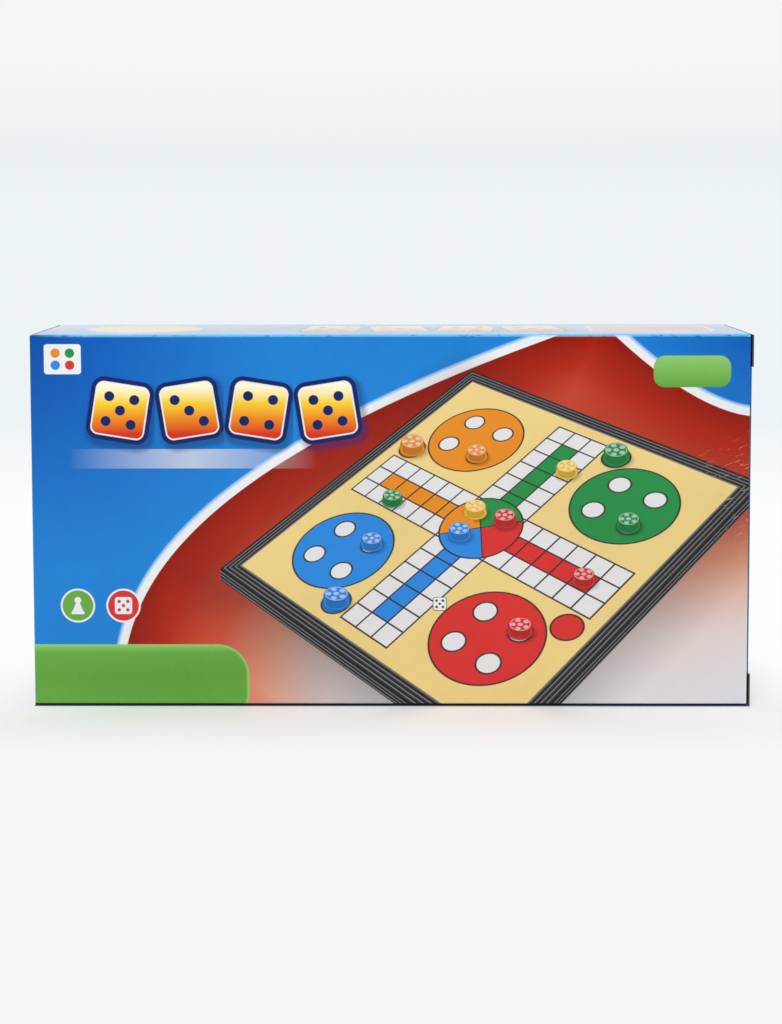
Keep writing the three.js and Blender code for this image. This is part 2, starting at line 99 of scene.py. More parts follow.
# The pictured board's corners: left, far, right, near
BOARD_CORNER_SHARES = ((0.50, 0.37), (1.17, 0.90), (1.94, 0.60), (1.23, -0.16))
BOARD_SIDE_SHARE = 0.03
BOARD_SHADOW_SHARES = (-0.02, -0.05, 0)
BOARD_SHADOW_SOFT_SHARE = 0.12
BOARD_SHADOW_DEPTH = 0.5
BOARD_HALF_CELLS = 8.9
FRAME_STEPS = 4
FRAME_STEP_SHARES = (0, 0.55, 0.8, 0.97)
PLAY_SHARE = 0.915

# A ludo board, in cells from its middle
ARM_HALF_WIDTH = 1.5
ARM_END = 7.5
LANE_HALF_WIDTH = 0.5
LANE_END = 6.5
HOME_RADIUS = 1.95
YARD_PLACE = 4.62
YARD_RADIUS = 2.45
SPOT_PLACE = 0.98
SPOT_RADIUS = 0.52
START_NEAR = 2.36
START_FAR = 7.02
START_RADIUS = 0.68
LINE_HALF_WIDTH = 0.042
CELL_EDGE = 0.035

# Title dice
TITLE_START_SHARES = (0.145, 0.795, 0)
TITLE_PITCH_SHARE = 0.184
TITLE_COUNT = 4
TITLE_HALF_SHARE = 0.069
TITLE_ROUND_SHARE = 0.018
TITLE_OUTLINE_SHARE = 0.016
TITLE_RIM_SHARE = 0.004
TITLE_TILT = 0.16
TITLE_SHADOW_SHARES = (0.008, -0.012, 0)
TITLE_STOPS = (0.05, 0.38, 0.66, 0.98)
PIP_SHARE = 0.0135
PIP_PLACE_SHARE = 0.034

# Smaller places of the print
BAR_CENTRE_SHARES = (0.43, 0.666, 0)
BAR_HALF_SHARES = (0.33, 0.026, 0)
BAR_MOST = 0.6
PATCH_CENTRE_SHARES = (0.086, 0.932, 0)
PATCH_HALF_SHARES = (0.049, 0.040, 0)
PATCH_ROUND_SHARE = 0.008
PATCH_DISC_PLACE_SHARES = (0.019, 0.016, 0)
PATCH_DISC_SHARE = 0.0125
TAB_CENTRE_SHARES = (1.752, 0.898, 0)
TAB_HALF_SHARES = (0.102, 0.042, 0)
TAB_ROUND_SHARE = 0.030
BADGE_SHARES = ((0.118, 0.270, 0), (0.240, 0.270, 0))
BADGE_RADIUS_SHARE = 0.046
BADGE_RING_SHARE = 0.005
BADGE_PAWN_SHARE = 0.02852
BADGE_DIE_SHARE = 0.023
BANNER_CENTRE_SHARES = (0.23, 0.055, 0)
BANNER_HALF_SHARES = (0.345, 0.110, 0)
BANNER_ROUND_SHARE = 0.085
BANNER_RIM_SHARE = 0.006
BANNER_STOPS = (0, 0.5, 0.86, 1)
SCUFF_SHARES = (1.87, 0.58, 0)
SCUFF_REACH_SHARE = 0.16
SCUFF_ALONG = (22, 9, 0)
SCUFF_ACROSS = (-60, 150, 0)
SCUFF_SCALE = 1
SCUFF_START = 0.62
SCUFF_END = 0.7
SCUFF_MOST = 0.9

# A pawn, in its own size: a round head, and a body that widens down to a foot
PAWN_HEAD_UP = 0.5
PAWN_HEAD_RADIUS = 0.32
PAWN_BODY_DOWN = 0.1
PAWN_BODY_HALF = (0.28, 0.5)
PAWN_BODY_SLOPE = 0.45
PAWN_FOOT_DOWN = 0.68
PAWN_FOOT_HALF = (0.62, 0.14)
PAWN_FOOT_ROUND = 0.1

# Pictured counters: cells across and along from the board's middle, size, and colour
COUNTER_CELLS = (
    (-3.64, -3.64, 0.030, "blue"),
    (-2.36, -7.02, 0.037, "blue"),
    (-3.64, 3.64, 0.029, "orange"),
    (-7.02, 2.36, 0.034, "orange"),
    (5.60, 3.64, 0.033, "green"),
    (2.36, 7.02, 0.036, "green"),
    (5.60, -3.64, 0.035, "red"),
    (6, 0, 0.032, "red"),
    (-5, -1, 0.028, "green"),
    (1, 5, 0.030, "yellow"),
    (0.7, 0.9, 0.031, "red"),
    (-0.9, 0.6, 0.031, "yellow"),
    (-0.5, -0.9, 0.031, "blue"),
)

# A pictured counter, in its own half widths
COUNTER_FLAT = 0.62
COUNTER_LIFT = 0.30
COUNTER_REACH = 1.5
COUNTER_EDGE = 0.07
COUNTER_HEAD = 0.86
COUNTER_SIDE = 0.93
COUNTER_SIDE_ROUND = 0.05
COUNTER_SIDE_TINT = (0.62, 0.62, 0.62, 1)
COUNTER_SHADOW_PLACE = (0.1, -0.45, 0)
COUNTER_SHADOW_START = 0.35
COUNTER_SHADOW_END = -0.1
COUNTER_SHADOW_MOST = 0.45
FOOT_RING = 0.14
FOOT_RING_HALF_WIDTH = 0.05
HEAD_RING = 0.09
HEAD_RING_HALF_WIDTH = 0.03
STUD_RING = 0.55
STUD_RADIUS = 0.2
STUD_COUNT = 5
STUD_PALE = 0.5

# The pictured die, and any small die in shares of its half width
SMALL_DIE_SHARES = (1.085, 0.275, 0)
SMALL_DIE_SHARE = 0.017
DIE_FACE_ROUND_SHARE = 1 / 3
DIE_FACE_PLACE_SHARE = 1 / 2
DIE_FACE_PIP_SHARE = 1 / 5

# Top and closures
OVAL_CENTRE_SHARES = (0.27, 0.137, 0)
OVAL_SHARE = 0.15
OVAL_STRETCH = 1.7
OVAL_RING_SHARE = 0.008
# The pale band of rubbed ink and painted highlight along the top's front crease
TOP_RUBBED_AND_LIT_SHARE = 0.055
TOP_TITLE_SHARES = (-0.55, 0.66, 0)
TOP_FLAG_CENTRE_SHARES = (1.66, 0.137, 0)
TOP_FLAG_HALF_SHARES = (0.16, 0.07, 0)
CLOSURE_DISCS = ("red", "green", "orange", "blue")
CLOSURE_MIDDLE_SHARE = 0.136
CLOSURE_DISC_SHARE = 0.07
CLOSURE_RING_SHARE = 0.008

# Board stock: lengths in millimetres, scales for each millimetre, and depths in metres
BOARD_SHINE = {"IOR": 1.5, "Specular Tint": (0.2, 0.2, 0.2, 1), "Coat IOR": 1.15}
TOP_SHINE = BOARD_SHINE | {"Coat IOR": 1.4}
FACING = 0.5
BOARD_SHADES = (0.95, 1.03)
BOARD_GLOSS = (0.2, 0.32)
WORN_ROUGHNESS = 0.85
RAW_ROUGHNESS = 0.9
SHADE_SCALE = 0.02
SMUDGE_SCALE = 0.05
WAVE_SCALE = 0.025
WAVE_DEPTH = 0.0003
FIBRE_SCALE = 3
FIBRE_STRETCH = (0.35, 1, 1)
FIBRE_DEPTH = 0.000004
CREASE_REACH_SHARE = 0.01
# Worn ink along outlines and creases; on the top crease it is partly a painted highlight, and both fade in
# from a face's left end
WEAR_SHARE = 0.0075
WEAR_AND_HIGHLIGHT_START_SHARE = 0.01
WEAR_AND_HIGHLIGHT_FULL_SHARE = 0.12
WORN_AND_LIT_MOST = 0.85
WEAR_STRETCH = (0.35, 1, 1)
WEAR_SCALE = 1.1
CREASE_WEAR_AND_HIGHLIGHT = 0.34
WEAR_START = 0.66
WEAR_END = 0.76
WORN_CREASE = 0.6
# A painted shade along the base crease, in millimetres up from the floor: full from the first height to the
# second, gone by the third
BASE_SHADE_LOW = 0.03
BASE_SHADE_FULL = 0.75
BASE_SHADE_TOP = 1.15
BLEED = 6
BLEED_EDGE = 0.2
BLEED_RAGGED = 0.3
BLEED_SCALE = 0.5
# A painted shade on a closure's inner side beside its edge, in millimetres: where it starts, where it is
# full, how ragged it is, and its strength
GAP_SHADE_REACH = 4.6
GAP_SHADE_FULL = 3
GAP_SHADE_RAGGED = 1
GAP_SHADE_MOST = 0.96

# Plastics: grain for each millimetre, its depth in metres, and roughness
CASE_GRAIN = (2.2, 0.00004, 0.38)
TRAY_GRAIN = (3, 0.00003, 0.45)
COUNTER_GRAIN = (1.2, 0.00002, 0.14)
CLOUD_SCALE = 0.06
PLASTIC_SHADES = (0.96, 1.03)
GLOSS_CHANGE = 0.2
MOULD_RADIUS = 0.00035
MOULD_SAMPLES = 6

# Pins, sheets, counters and die
PIN_STRETCH = (0.05, 1, 1)
PIN_SCALE = 8
PIN_DEPTH = 0.00001
PIN_GLOSS = (0.22, 0.42)
SHEET_HALF_CELLS = 7.9
SHEET_FOLD_GAP = 3.3
SHEET_GLOSS = (0.35, 0.48)
COUNTERS_EACH = 4
DIE_PLACE_SHARE = 0.25
DIE_PIP_SHARE = 0.095
DIE_EDGE_SHARE = 0.03
DIE_SINK_SHARE = 0.05
DIE_FACING = 0.7
DIE_CLOUD_SCALE = 1
DIE_SHADES = (0.97, 1)
DIE_GLOSS = (0.18, 0.5)

# Colours as they look, red, green and blue up to the full level
FULL_LEVEL = 255
INK = {
    "ground": (4, 91, 180),
    "ground glow": (26, 126, 206),
    "ground deep": (0, 76, 158),
    "field": (144, 20, 0),
    "field red": (174, 38, 16),
    "field glow": (212, 82, 56),
    "field warm": (218, 148, 118),
    "field pale": (220, 206, 202),
    "field white": (222, 221, 227),
    "white": (229, 231, 233),
    "rim": (166, 202, 238),
    "cream": (232, 205, 134),
    "cell": (224, 223, 224),
    "line": (56, 48, 48),
    "blue": (42, 134, 218),
    "orange": (226, 138, 34),
    "green": (38, 140, 70),
    "red": (210, 50, 48),
    "yellow": (236, 190, 60),
    "frame": (54, 54, 57),
    "frame light": (134, 134, 138),
    "frame dark": (22, 22, 24),
    "navy": (10, 34, 96),
    "gold pale": (250, 244, 214),
    "gold": (244, 206, 52),
    "gold deep": (236, 140, 30),
    "gold red": (208, 50, 24),
    "leaf": (102, 166, 66),
    "leaf light": (138, 198, 104),
    "leaf deep": (94, 160, 58),
    # cut edges: a painted shade, and a painted light where they face up
    "cut edge": (88, 80, 76),
    "clean edge": (206, 209, 216),
    "core": (186, 180, 168),
    "core light": (214, 211, 203),
    # painted shade, for the base crease and for the gaps beside the closures' raw ends
    "soil": (4, 12, 34),
    "scuff": (232, 176, 140),
    # worn ink, and a painted highlight along the top crease
    "crack": (116, 198, 242),
    "bleed": (16, 88, 122),
    "case": (46, 46, 48),
    "tray": (226, 224, 218),
    "steel": (196, 198, 200),
    "steel light": (222, 224, 226),
    "floor": (252, 253, 253),
    # a painted contact shadow under the object
    "floor gap": (120, 128, 150),
    "floor near": (246, 247, 247),
    "floor far": (252, 253, 252),
    "wall low": (238, 244, 246),
    "wall": (235, 241, 243),
    "wall high": (245, 246, 246),
}


def colour(ink):
    """An ink's name as Blender's linear colour. A signal or a colour stays as it is."""
    if not isinstance(ink, str):
        return ink
    return (*Color([level / FULL_LEVEL for level in INK[ink]]).from_srgb_to_scene_linear(), 1)


class Signal:
    """A value that varies over a surface, as the node output that carries it."""

    def __init__(self, pen, socket):
        self.pen = pen
        self.socket = socket


class Number(Signal):
    def __add__(self, other):
        return self.pen.number("ADD", self, other)

    def __sub__(self, other):
        return self.pen.number("SUBTRACT", self, other)

    def __rsub__(self, other):
        return self.pen.number("SUBTRACT", other, self)

    def __neg__(self):
        return self.pen.number("SUBTRACT", 0, self)

    def __mul__(self, other):
        return self.pen.number("MULTIPLY", self, other)

    def __truediv__(self, other):
        return self.pen.number("DIVIDE", self, other)

    def __pow__(self, other):
        return self.pen.number("POWER", self, other)

    def __abs__(self):
        return self.pen.number("ABSOLUTE", self)

    def over(self, other):
        return self.pen.number("GREATER_THAN", self, other)

    def equals(self, whole):
        """1 where a whole number is this one, and 0 elsewhere."""
        return self.over(whole - 0.5) * (1 - self.over(whole + 0.5))


class Point(Signal):
    def __add__(self, other):
        return self.pen.point("ADD", self, other)

    def __sub__(self, other):
        return self.pen.point("SUBTRACT", self, other)

    def __mul__(self, other):
        return self.pen.point("MULTIPLY", self, other)

    def __abs__(self):
        return self.pen.point("ABSOLUTE", self)

    def dot(self, other):
        return self.pen.measure("DOT_PRODUCT", self, other)

    def distance(self, other):
        return self.pen.measure("DISTANCE", self, other)

    def length(self):
        return self.pen.measure("LENGTH", self)

    def parts(self):
        node = self.pen.node("ShaderNodeSeparateXYZ", {0: self})
        return [Number(self.pen, output) for output in node.outputs]


class Pen:
    """Adds nodes to one node tree, in the order in which they are worked out.

    An ink is given by its name, as a colour or as a signal."""

    def __init__(self, tree):
        self.tree = tree

    def node(self, kind, feeds, **settings):
        node = self.tree.nodes.new(kind)
        for name, value in settings.items():
            setattr(node, name, value)
        for key, value in feeds.items():
            if isinstance(value, Signal):
                self.tree.links.new(value.socket, node.inputs[key])
            else:
                node.inputs[key].default_value = value
        return node

    def result(self, kind, feeds, **settings):
        """The first output of a new node."""
        return Signal(self, self.node(kind, feeds, **settings).outputs[0])

    def number(self, operation, *values):
        node = self.node("ShaderNodeMath", dict(enumerate(values)), operation=operation)
        return Number(self, node.outputs[0])

    def point(self, operation, *values):
        node = self.node("ShaderNodeVectorMath", dict(enumerate(values)), operation=operation)
        return Point(self, node.outputs["Vector"])

    def measure(self, operation, *values):
        node = self.node("ShaderNodeVectorMath", dict(enumerate(values)), operation=operation)
        return Number(self, node.outputs["Value"])

    def joined(self, across, up):
        node = self.node("ShaderNodeCombineXYZ", {0: across, 1: up})
        return Point(self, node.outputs[0])

    def smaller(self, first, second):
        return self.number("MINIMUM", first, second)

    def larger(self, first, second):
        return self.number("MAXIMUM", first, second)

    def span(self, value, start, end, low=0, high=1):
        """value carried from start..end to low..high, and held there."""
        node = self.node("ShaderNodeMapRange", {0: value, 1: start, 2: end, 3: low, 4: high})
        return Number(self, node.outputs[0])

    def noise(self, place, scale, detail=PLAIN_DETAIL):
        node = self.node("ShaderNodeTexNoise", {"Vector": place, "Scale": scale, "Detail": detail})
        return Number(self, node.outputs[0])

    def vary(self, noise, low, high):
        """Noise carried to low..high."""
        return self.span(noise, *NOISE_SPAN, low, high)

    def cover(self, shape, edge=EDGE_SHARE):
        """1 inside a shape and 0 outside it. A shape is the distance to its outline, negative inside."""
        return self.span(shape, edge / 2, -edge / 2)

    def blend(self, share, below, above):
        """One ink over another. A Mix node's colours are its sockets 6 and 7."""
        feeds = {0: share, 6: colour(below), 7: colour(above)}
        return Signal(self, self.node("ShaderNodeMix", feeds, data_type="RGBA").outputs[2])

    def tinted(self, ink, tint):
        feeds = {0: 1, 6: colour(ink), 7: tint}
        node = self.node("ShaderNodeMix", feeds, data_type="RGBA", blend_type="MULTIPLY")
        return Signal(self, node.outputs[2])

    def choose(self, share, first, second):
        """One point or another. A Mix node's vectors are its sockets 4 and 5."""
        node = self.node("ShaderNodeMix", {0: share, 4: first, 5: second}, data_type="VECTOR")
        return Point(self, node.outputs[1])

    def paint(self, ink, shape, fill, edge=EDGE_SHARE):
        """Covers ink with fill inside a shape."""
        return self.blend(self.cover(shape, edge), ink, fill)

    def ramp(self, value, stops, inks):
        """Inks one after another, each at its stop along value."""
        node = self.node("ShaderNodeValToRGB", {0: value})
        elements = node.color_ramp.elements
        elements.remove(elements[1])
        for index, (stop, ink) in enumerate(zip(stops, inks)):
            element = elements[0] if index == 0 else elements.new(stop)
            element.position = stop
            element.color = colour(ink)
        return Signal(self, node.outputs[0])


# Shapes, as distances from their outlines

def disc(point, centre, radius):
    return point.distance(centre) - radius


def bar(point, centre, half, radius):
    """A box with rounded corners."""
    core = (half[0] - radius, half[1] - radius, 0)
    past = point.pen.point("MAXIMUM", abs(point - centre) - core, (0, 0, 0))
    return past.length() - radius


def side(point, start, end):
    """The distance to the right of the line from start to end."""
    along = Vector(end) - Vector(start)
    right = Vector((along.y, -along.x)).normalized()
    return point.dot((right.x, right.y, 0)) - right.dot(Vector(start))


def polygon(point, corners):
    """An area whose corners run round it with the area on their right, from the lines through its sides."""
    distance = None
    for start, end in zip(corners, corners[1:] + corners[:1]):
        past = side(point, end, start)
        distance = past if distance is None else point.pen.larger(distance, past)
    return distance


def past_curve(pen, value, along, power, reach, start):
    """How far value is past a curve that rises from start as a power of along, square to the curve."""
    along = pen.larger(along, 0)
    line = along ** power * reach + start
    slope = along ** (power - 1) * (reach * power)
    return (value - line) / pen.number("SQRT", slope * slope + 1)


# A ludo board, the common cross with its four yards

def by_direction(pen, parts, folded, inks):
    """The ink of the arm that a point is nearest: left, right, near, far."""
    left, right, near, far = inks
    sideways = pen.blend(parts[0].over(0), left, right)
    lengthways = pen.blend(parts[1].over(0), near, far)
    return pen.blend(folded[1].over(folded[0]), sideways, lengthways)


def by_quarter(pen, parts, inks):
    """The ink of a point's quarter: left near, left far, right far, right near."""
    left_near, left_far, right_far, right_near = inks
    near = pen.blend(parts[0].over(0), left_near, right_near)
    far = pen.blend(parts[0].over(0), left_far, right_far)
    return pen.blend(parts[1].over(0), near, far)


def outlined(pen, ink, shape, fill):
    ink = pen.paint(ink, shape, fill, CELL_EDGE)
    return pen.paint(ink, abs(shape) - LINE_HALF_WIDTH, "line", CELL_EDGE)


def ludo_arms(pen, ink, arm_ink, folded):
    """The cross of four arms with their lanes, and a line along every cell."""
    far = pen.larger(folded[0], folded[1])
    near = pen.smaller(folded[0], folded[1])
    arm = pen.larger(near - ARM_HALF_WIDTH, far - ARM_END)
    ink = pen.paint(ink, arm, "cell", CELL_EDGE)
    lane = pen.larger(near - LANE_HALF_WIDTH, far - LANE_END)
    ink = pen.paint(ink, lane, arm_ink, CELL_EDGE)
    across_line = abs(pen.number("FRACT", near) - LANE_HALF_WIDTH)
    along_line = abs(pen.number("FRACT", far) - LANE_HALF_WIDTH)
    line = pen.smaller(across_line, along_line) - LINE_HALF_WIDTH
    return pen.paint(ink, pen.larger(line, arm - LINE_HALF_WIDTH), "line", CELL_EDGE)


def ludo_home(pen, ink, arm_ink, folded_point, folded):
    """The round home, parted by lines into the four colours."""
    home = disc(folded_point, (0, 0, 0), HOME_RADIUS)
    ink = pen.paint(ink, home, arm_ink, CELL_EDGE)
    diagonal = pen.larger(abs(folded[0] - folded[1]) - LINE_HALF_WIDTH, home)
    line = pen.smaller(diagonal, abs(home) - LINE_HALF_WIDTH)
    return pen.paint(ink, line, "line", CELL_EDGE)


def ludo_yards(pen, ink, yard_ink, folded_point, parts):
    """The round yards with four spots each, and a start disc beside each arm."""
    middle = (YARD_PLACE, YARD_PLACE, 0)
    ink = outlined(pen, ink, disc(folded_point, middle, YARD_RADIUS), yard_ink)
    spot_point = abs(folded_point - middle)
    ink = outlined(pen, ink, disc(spot_point, (SPOT_PLACE, SPOT_PLACE, 0), SPOT_RADIUS), "cell")
    same_side = (parts[0] * parts[1]).over(0)
    start = pen.choose(same_side, (START_FAR, START_NEAR, 0), (START_NEAR, START_FAR, 0))
    return outlined(pen, ink, disc(folded_point, start, START_RADIUS), yard_ink)


def ludo_board(pen, cell):
    """The play area of a ludo board, for a point in cells from its middle."""
    folded_point = abs(cell)
    parts = cell.parts()
    folded = folded_point.parts()
    arm_ink = by_direction(pen, parts, folded, ("orange", "red", "blue", "green"))
    yard_ink = by_quarter(pen, parts, ("blue", "orange", "green", "red"))
    ink = ludo_arms(pen, "cream", arm_ink, folded)
    ink = ludo_home(pen, ink, arm_ink, folded_point, folded)
    return ludo_yards(pen, ink, yard_ink, folded_point, parts)


# The board as it is pictured, lying flat and seen from one side

def flattening():
    """The matrix of the perspective that carries the pictured board's corners to a square from -1 to 1."""
    rows = []
    goals = []
    for (x, y), (u, v) in zip(BOARD_CORNER_SHARES, ((-1, -1), (-1, 1), (1, 1), (1, -1))):
        rows += [(x, y, 1, 0, 0, 0, -u * x, -u * y), (0, 0, 0, x, y, 1, -v * x, -v * y)]
        goals += [u, v]
    return numpy.reshape((*numpy.linalg.solve(rows, goals), 1), (3, 3))


def carried(point, row):
    """What one row of a perspective's matrix makes of a point."""
    return point.dot((row[0], row[1], 0)) + row[2]


def stripes(pen, value):
    """The steps of a moulded frame, from its outer edge in, each with a thin bright line on its corner."""
    stops = [(step + share) / FRAME_STEPS for step in range(FRAME_STEPS) for share in FRAME_STEP_SHARES]
    return pen.ramp(value, stops, ("frame dark", "frame", "frame light", "frame dark") * FRAME_STEPS)


def pictured_board(pen, ink, point):
    """The board on its shadow: the side of its frame, the frame's steps, and the play area."""
    left, far, right, near = BOARD_CORNER_SHARES
    lowered = [(x, y - BOARD_SIDE_SHARE) for x, y in (right, near, left)]
    outline = [left, far, right, *lowered]
    shadow = polygon(point - BOARD_SHADOW_SHARES, outline)
    shade = pen.span(shadow, BOARD_SHADOW_SOFT_SHARE, -BOARD_SHADOW_SOFT_SHARE / 2, 0, BOARD_SHADOW_DEPTH)
    ink = pen.blend(shade, ink, "frame dark")
    wall = pen.larger(side(point, left, near), side(point, near, right))
    wall_ink = stripes(pen, pen.span(wall, 0, BOARD_SIDE_SHARE))
    ink = pen.paint(ink, polygon(point, outline), wall_ink)
    across_row, up_row, depth_row = flattening().tolist()
    depth = carried(point, depth_row)
    across = carried(point, across_row) / depth
    up = carried(point, up_row) / depth
    cell = pen.joined(across * BOARD_HALF_CELLS, up * BOARD_HALF_CELLS)
    reach = pen.larger(abs(across), abs(up))
    edge = CELL_EDGE / BOARD_HALF_CELLS
    ink = pen.paint(ink, reach - 1, stripes(pen, pen.span(reach, 1, PLAY_SHARE)), edge)
    play = ludo_board(pen, cell)
    return pen.paint(ink, reach - PLAY_SHARE, play, edge)


# Pictured counters and dice

def pictured_counters(pen, ink, point):
    """All counters at once: the point is taken from the middle of the counter that it is near."""
    near = pen.joined(COUNTER_REACH * 2, 0)
    tint = "blue"
    to_picture = numpy.linalg.inv(flattening())
    for across, along, size, name in COUNTER_CELLS:
        x, y, depth = (to_picture @ (across / BOARD_HALF_CELLS, along / BOARD_HALF_CELLS, 1)).tolist()
        middle = (x / depth, y / depth + COUNTER_LIFT * size, 0)
        local = (point - middle) * (1 / size, 1 / size, 0)
        inside = (COUNTER_REACH - local.length()).over(0)
        near = pen.choose(inside, near, local)
        tint = pen.blend(inside, tint, name)
    return counter(pen, ink, near, tint)


def counter(pen, ink, point, tint):
    """A studded counter on its shadow, for a point in its own half widths from its middle."""
    flat = (1, 1 / COUNTER_FLAT, 0)
    lift = (0, COUNTER_LIFT, 0)
    foot = disc((point + lift) * flat, (0, 0, 0), 1)
    top = (point - lift) * flat
    head = disc(top, (0, 0, 0), COUNTER_HEAD)
    wall = bar(point, (0, 0, 0), (COUNTER_SIDE, COUNTER_LIFT, 0), COUNTER_SIDE_ROUND)
    body = pen.smaller(foot, pen.smaller(head, wall))
    shadow = disc((point - COUNTER_SHADOW_PLACE) * flat, (0, 0, 0), 1)
    shade = pen.span(shadow, COUNTER_SHADOW_START, COUNTER_SHADOW_END, 0, COUNTER_SHADOW_MOST)
    ink = pen.blend(shade, ink, "frame dark")
    ink = pen.paint(ink, body, pen.tinted(tint, COUNTER_SIDE_TINT), COUNTER_EDGE)
    ink = pen.paint(ink, abs(foot + FOOT_RING) - FOOT_RING_HALF_WIDTH, tint, COUNTER_EDGE)
    ink = pen.paint(ink, head, tint, COUNTER_EDGE)
    pale = pen.blend(STUD_PALE, tint, "white")
    ink = pen.paint(ink, abs(head + HEAD_RING) - HEAD_RING_HALF_WIDTH, pale, COUNTER_EDGE)
    return pen.paint(ink, studs(pen, top), pale, COUNTER_EDGE)


def studs(pen, point):
    """One stud in the middle of a counter's head, and a ring of them round it."""
    across, up, _ = point.parts()
    turn = pen.number("ARCTAN2", up, across) * (STUD_COUNT / math.tau)
    sector = (pen.number("FRACT", turn + STUD_COUNT) - 0.5) * (math.tau / STUD_COUNT)
    reach = point.length()
    local = pen.joined(reach * pen.number("COSINE", sector), reach * pen.number("SINE", sector))
    return pen.smaller(disc(local, (STUD_RING, 0, 0), STUD_RADIUS), reach - STUD_RADIUS)


def pip_distance(pen, point, place, radius, middle, corners, one_diagonal):
    """The pips of a die's face: middle, corners and one_diagonal are 1 where that face has them.

    A pip that a face doesn't have is carried 1 away, which is out of reach."""
    centre_pip = disc(point, (0, 0, 0), radius) + (1 - middle)
    corner_pip = disc(abs(point), (place, place, 0), radius) + (1 - corners)
    across, up, _ = point.parts()
    other_diagonal = (across * up).over(0) * one_diagonal
    return pen.smaller(centre_pip, corner_pip + other_diagonal)


def title_dice(pen, ink, point):
    """A row of gold dice that lean to and fro, outlined in navy. They show five, three, four and five."""
    across, up, _ = (point - TITLE_START_SHARES).parts()
    last = TITLE_COUNT - 1
    index = pen.span(pen.number("FLOOR", across / TITLE_PITCH_SHARE), 0, last, 0, last)
    within = across - (index + 0.5) * TITLE_PITCH_SHARE
    lean = (pen.number("FLOORED_MODULO", index, 2) - 0.5) * (2 * TITLE_TILT)
    tilted = pen.joined(within + up * lean, up - within * lean)
    half = (TITLE_HALF_SHARE, TITLE_HALF_SHARE, 0)
    body = bar(tilted, (0, 0, 0), half, TITLE_ROUND_SHARE)
    shadow = bar(tilted - TITLE_SHADOW_SHARES, (0, 0, 0), half, TITLE_ROUND_SHARE)
    shade = pen.span(shadow - TITLE_OUTLINE_SHARE, TITLE_OUTLINE_SHARE, 0, 0, BOARD_SHADOW_DEPTH)
    ink = pen.blend(shade, ink, "navy")
    ink = pen.paint(ink, body - TITLE_OUTLINE_SHARE, "navy")
    ink = pen.paint(ink, body - TITLE_RIM_SHARE, "white")
    level = pen.span(up, -TITLE_HALF_SHARE, TITLE_HALF_SHARE)
    gold = pen.ramp(level, TITLE_STOPS, ("gold red", "gold deep", "gold", "gold pale"))
    ink = pen.paint(ink, body, gold)
    middle = 1 - index.equals(2)
    one_diagonal = index.equals(1)
    pip = pip_distance(pen, tilted, PIP_PLACE_SHARE, PIP_SHARE, middle, 1, one_diagonal)
    return pen.paint(ink, pip, "navy")


def die_face(pen, ink, point, centre, half, pip_ink):
    """A small white die that shows five."""
    body = bar(point, centre, (half, half, 0), half * DIE_FACE_ROUND_SHARE)
    ink = pen.paint(ink, body, "white")
    place, radius = half * DIE_FACE_PLACE_SHARE, half * DIE_FACE_PIP_SHARE
    return pen.paint(ink, pip_distance(pen, point - centre, place, radius, 1, 1, 0), pip_ink)


def small_die(pen, ink, point):
    half = SMALL_DIE_SHARE
    body = bar(point, SMALL_DIE_SHARES, (half, half, 0), half * DIE_FACE_ROUND_SHARE)
    ink = pen.paint(ink, body - EDGE_SHARE, "line")
    return die_face(pen, ink, point, SMALL_DIE_SHARES, half, "line")


# Smaller places of the print

def fading_bar(pen, ink, point):
    across, up, _ = abs(point - BAR_CENTRE_SHARES).parts()
    along = pen.span(across, BAR_HALF_SHARES[0], 0, 0, BAR_MOST)
    return pen.blend(along * pen.cover(up - BAR_HALF_SHARES[1]), ink, "white")


def corner_patch(pen, ink, point):
    patch = bar(point, PATCH_CENTRE_SHARES, PATCH_HALF_SHARES, PATCH_ROUND_SHARE)
    ink = pen.paint(ink, patch, "white")
    local = point - PATCH_CENTRE_SHARES
    spot = disc(abs(local), PATCH_DISC_PLACE_SHARES, PATCH_DISC_SHARE)
    return pen.paint(ink, spot, by_quarter(pen, local.parts(), ("blue", "orange", "green", "red")))


def leaf_tab(pen, ink, point):
    tab = bar(point, TAB_CENTRE_SHARES, TAB_HALF_SHARES, TAB_ROUND_SHARE)
    up = point.parts()[1] - TAB_CENTRE_SHARES[1]
    level = pen.span(up, -TAB_HALF_SHARES[1], TAB_HALF_SHARES[1])
    return pen.paint(ink, tab, pen.ramp(level, (0, 1), ("leaf deep", "leaf light")))


def badge(pen, ink, point, centre, fill):
    face = disc(point, centre, BADGE_RADIUS_SHARE)
    ink = pen.paint(ink, face, "white")
    return pen.paint(ink, face + BADGE_RING_SHARE, fill)


def pawn(pen, ink, point, centre, size):
    """A plain pawn: a round head on a body that widens to its foot."""
    local = point - centre
    head = disc(local, (0, size * PAWN_HEAD_UP, 0), size * PAWN_HEAD_RADIUS)
    across, up, _ = local.parts()
    wide, tall = [size * half for half in PAWN_BODY_HALF]
    body = pen.larger(abs(across) + up * PAWN_BODY_SLOPE - wide, abs(up + size * PAWN_BODY_DOWN) - tall)
    foot_half = [size * half for half in PAWN_FOOT_HALF]
    foot = bar(local, (0, -size * PAWN_FOOT_DOWN, 0), foot_half, size * PAWN_FOOT_ROUND)
    return pen.paint(ink, pen.smaller(head, pen.smaller(body, foot)), "white")


def badges(pen, ink, point):
    first, second = BADGE_SHARES
    ink = badge(pen, ink, point, first, "leaf")
    ink = pawn(pen, ink, point, first, BADGE_PAWN_SHARE)
    ink = badge(pen, ink, point, second, "red")
    return die_face(pen, ink, point, second, BADGE_DIE_SHARE, "red")


